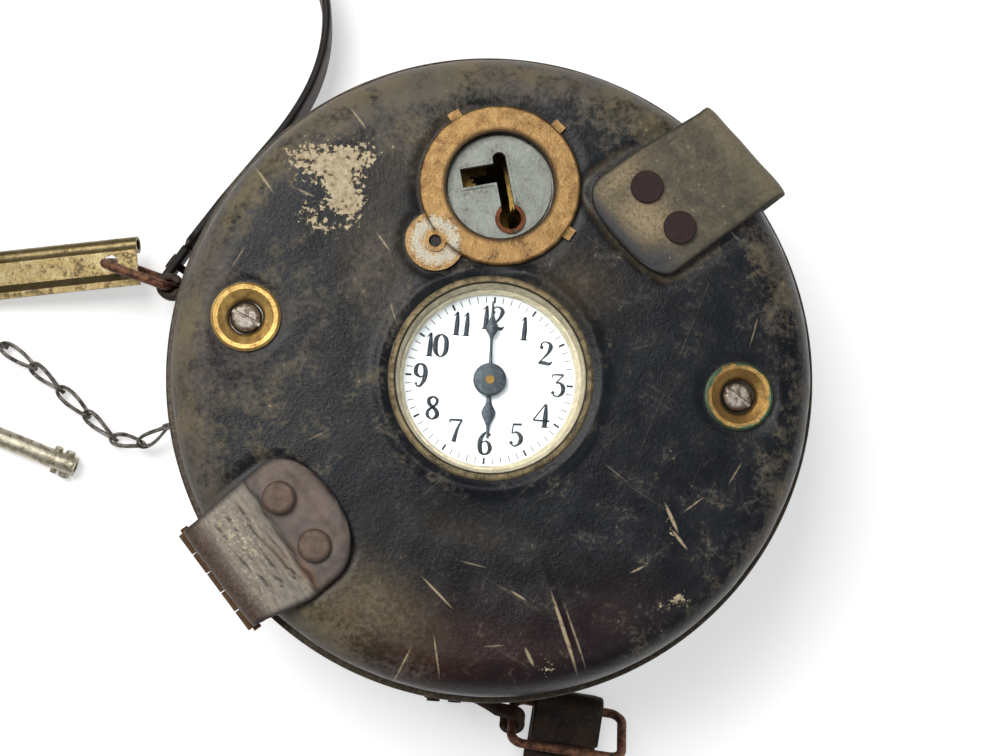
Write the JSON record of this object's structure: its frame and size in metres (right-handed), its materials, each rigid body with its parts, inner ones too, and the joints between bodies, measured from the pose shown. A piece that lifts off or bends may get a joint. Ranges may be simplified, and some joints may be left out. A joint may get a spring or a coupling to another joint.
{
  "type": "watchman clock",
  "caption": "Round leather-cased watchman's clock lying on its back, with a hinged lid, dial window, key ring and keyhole, movement, tape recorder, shoulder strap, chain and case key.",
  "frame": {"origin": "centre of the flat leather back, on the surface the clock lies on", "axes": "+Z out of the dial, +Y towards twelve o'clock, +X towards three o'clock"},
  "size_m": [0.239, 0.2763, 0.0746],
  "materials": {
    "black_leather": "worn, scuffed",
    "tab_leather": "cracked, worn",
    "chape_leather": "dull",
    "strap_leather": "dull, waxed",
    "aged_brass": "tarnished",
    "yellow_brass": "worn bright",
    "rust_copper": "rusted, copper wash",
    "rivet_bronze": "dark patina",
    "zinc": "dull pressed",
    "steel": "worn",
    "nickel_brass": "worn nickel over brass",
    "dial_white": "satin enamel",
    "hand_black": "blued, mottled",
    "clear_glass": "clear",
    "sheet_steel": "tinned sheet",
    "movement_brass": "satin",
    "movement_steel": "polished",
    "blued_steel": "blued",
    "tape_paper": "matte"
  },
  "bodies": {
    "root": {"leather_body": "black_leather", "case_pan": "sheet_steel", "body_hinge_leaf": "aged_brass", "hinge_pin": "aged_brass", "small_rivets": "rivet_bronze", "ring_chapes": "chape_leather", "bottom_ring": "rust_copper", "left_strap_end": "strap_leather", "bottom_strap_end": "strap_leather", "shoulder_strap": "strap_leather", "chain_staple": "steel", "key_chain": "steel", "back_plate": "movement_brass", "front_plate": "movement_brass", "plate_pillars": "movement_brass", "dial_plate": "dial_white", "key_guide": "movement_brass", "paper_tape": "tape_paper", "tape_posts": "movement_steel", "lock_housing": "steel"},
    "lid": {"lid_leather": "black_leather", "lid_liner": "sheet_steel", "dial_bezel": "aged_brass", "dial_glass": "clear_glass", "key_ring": "aged_brass", "key_plate": "zinc", "keyhole_bush": "rust_copper", "screw_washers": "yellow_brass", "lid_screws": "steel", "upper_tab": "tab_leather", "lower_tab": "tab_leather", "upper_rivets": "rivet_bronze", "lower_rivets": "rivet_bronze", "lid_hinge_leaf": "aged_brass", "lid_catch": "steel"},
    "lock": {"lock_plug": "steel", "lock_tongue": "steel"},
    "minute": {"cannon_pinion": "movement_steel", "minute_hand": "hand_black"},
    "hour": {"hour_wheel": "movement_brass", "hour_hand": "hand_black"},
    "minute_wheel": {"minute_wheel": "movement_brass"},
    "time_idler": {"time_idler": "movement_brass"},
    "time_type": {"time_type_wheel": "movement_brass"},
    "fourth": {"fourth_wheel": "movement_brass"},
    "third": {"third_wheel": "movement_brass"},
    "centre": {"centre_wheel": "movement_brass"},
    "barrel": {"mainspring_barrel": "movement_brass", "mainspring": "movement_steel"},
    "escape": {"escape_wheel": "movement_brass"},
    "balance": {"balance_wheel": "movement_brass", "hairspring": "blued_steel"},
    "fork": {"pallet_fork": "movement_steel"},
    "winder": {"winding_arbor": "movement_steel"},
    "supply": {"supply_spool": "movement_brass"},
    "takeup": {"takeup_spool": "movement_brass"},
    "hammer": {"print_hammer": "movement_steel"},
    "side_ring": {"left_ring": "rust_copper"},
    "strip": {"pressed_strip": "nickel_brass"},
    "key": {"case_key": "nickel_brass"}
  },
  "joints": [
    {"name": "lid_hinge", "type": "hinge", "parent": "root", "child": "lid", "pos_m": [-0.06075, -0.05281, 0.0572], "axis": [0.6561, -0.7547, 0], "range_deg": [0, 100]},
    {"name": "lock_turn", "type": "hinge", "parent": "root", "child": "lock", "pos_m": [0.0478, 0.04864, 0.046], "axis": [-0.7009, -0.7133, 0], "range_deg": [0, 90]},
    {"name": "hands_turn", "type": "hinge", "parent": "root", "child": "minute", "pos_m": [-0.001, -0.0018, 0.06], "axis": [0, 0, -1], "continuous": true},
    {"name": "hour_turn", "type": "hinge", "parent": "root", "child": "hour", "pos_m": [-0.001, -0.0018, 0.06], "axis": [0, 0, -1], "continuous": true},
    {"name": "minute_wheel_turn", "type": "hinge", "parent": "root", "child": "minute_wheel", "pos_m": [-0.001, -0.0138, 0.054], "axis": [0, 0, -1], "continuous": true},
    {"name": "time_idler_turn", "type": "hinge", "parent": "root", "child": "time_idler", "pos_m": [-0.01743, 0.01704, 0.055], "axis": [0, 0, -1], "continuous": true},
    {"name": "time_type_turn", "type": "hinge", "parent": "root", "child": "time_type", "pos_m": [-0.016, 0.042, 0.04], "axis": [0, 0, -1], "continuous": true},
    {"name": "seconds_turn", "type": "hinge", "parent": "root", "child": "fourth", "pos_m": [0.02615, -0.03072, 0.03], "axis": [0, 0, -1], "continuous": true},
    {"name": "third_turn", "type": "hinge", "parent": "root", "child": "third", "pos_m": [0.02004, -0.01395, 0.03], "axis": [0, 0, -1], "continuous": true},
    {"name": "centre_turn", "type": "hinge", "parent": "root", "child": "centre", "pos_m": [-0.001, -0.0018, 0.03], "axis": [0, 0, -1], "continuous": true},
    {"name": "barrel_turn", "type": "hinge", "parent": "root", "child": "barrel", "pos_m": [-0.01649, -0.02392, 0.02], "axis": [0, 0, -1], "continuous": true},
    {"name": "escape_turn", "type": "hinge", "parent": "root", "child": "escape", "pos_m": [0.03682, -0.03688, 0.02], "axis": [0, 0, -1], "continuous": true},
    {"name": "balance_swing", "type": "hinge", "parent": "root", "child": "balance", "pos_m": [0.044, -0.01, 0.027], "axis": [0, 0, -1], "range_deg": [-120, 120], "stiffness_Nm_per_rad": 0.00002},
    {"name": "fork_swing", "type": "hinge", "parent": "root", "child": "fork", "pos_m": [0.0395, -0.0268, 0.02], "axis": [0, 0, -1], "range_deg": [-5, 5]},
    {"name": "winding_turn", "type": "hinge", "parent": "root", "child": "winder", "pos_m": [-0.01649, -0.02392, 0.005], "axis": [0, 0, -1], "continuous": true},
    {"name": "supply_turn", "type": "hinge", "parent": "root", "child": "supply", "pos_m": [-0.042, 0.034, 0.03], "axis": [0, 0, -1], "continuous": true},
    {"name": "takeup_turn", "type": "hinge", "parent": "root", "child": "takeup", "pos_m": [0.04, 0.034, 0.03], "axis": [0, 0, -1], "continuous": true},
    {"name": "hammer_swing", "type": "hinge", "parent": "root", "child": "hammer", "pos_m": [0.024, 0.0605, 0.032], "axis": [0, 0, 1], "range_deg": [0, 3], "stiffness_Nm_per_rad": 0.02},
    {"name": "ring_swing", "type": "hinge", "parent": "root", "child": "side_ring", "pos_m": [-0.08212, 0.02148, 0.014], "axis": [-0.03, -0.1599, 0.9867], "range_deg": [-7, 3]},
    {"name": "strip_swing", "type": "hinge", "parent": "side_ring", "child": "strip", "pos_m": [-0.09868, 0.02612, 0.014], "axis": [-0.03, -0.1599, 0.9867], "range_deg": [-6, 2]},
    {"name": "key_swing", "type": "hinge", "parent": "root", "child": "key", "pos_m": [-0.14384, -0.01197, 0.00296], "axis": [0, 0, 1], "range_deg": [-12, 7]}
  ],
  "couplings": [
    {"joint": "hour_turn", "follows": "hands_turn", "ratio": 0.083333},
    {"joint": "minute_wheel_turn", "follows": "hands_turn", "ratio": -0.33333},
    {"joint": "time_idler_turn", "follows": "hands_turn", "ratio": -0.051948},
    {"joint": "time_type_turn", "follows": "hands_turn", "ratio": 0.083333},
    {"joint": "third_turn", "follows": "seconds_turn", "ratio": -0.13333},
    {"joint": "centre_turn", "follows": "seconds_turn", "ratio": 0.016667},
    {"joint": "barrel_turn", "follows": "seconds_turn", "ratio": -0.0020833},
    {"joint": "escape_turn", "follows": "seconds_turn", "ratio": -10},
    {"joint": "fork_swing", "follows": "balance_swing", "ratio": -0.04},
    {"joint": "takeup_turn", "follows": "supply_turn", "ratio": 1}
  ]
}
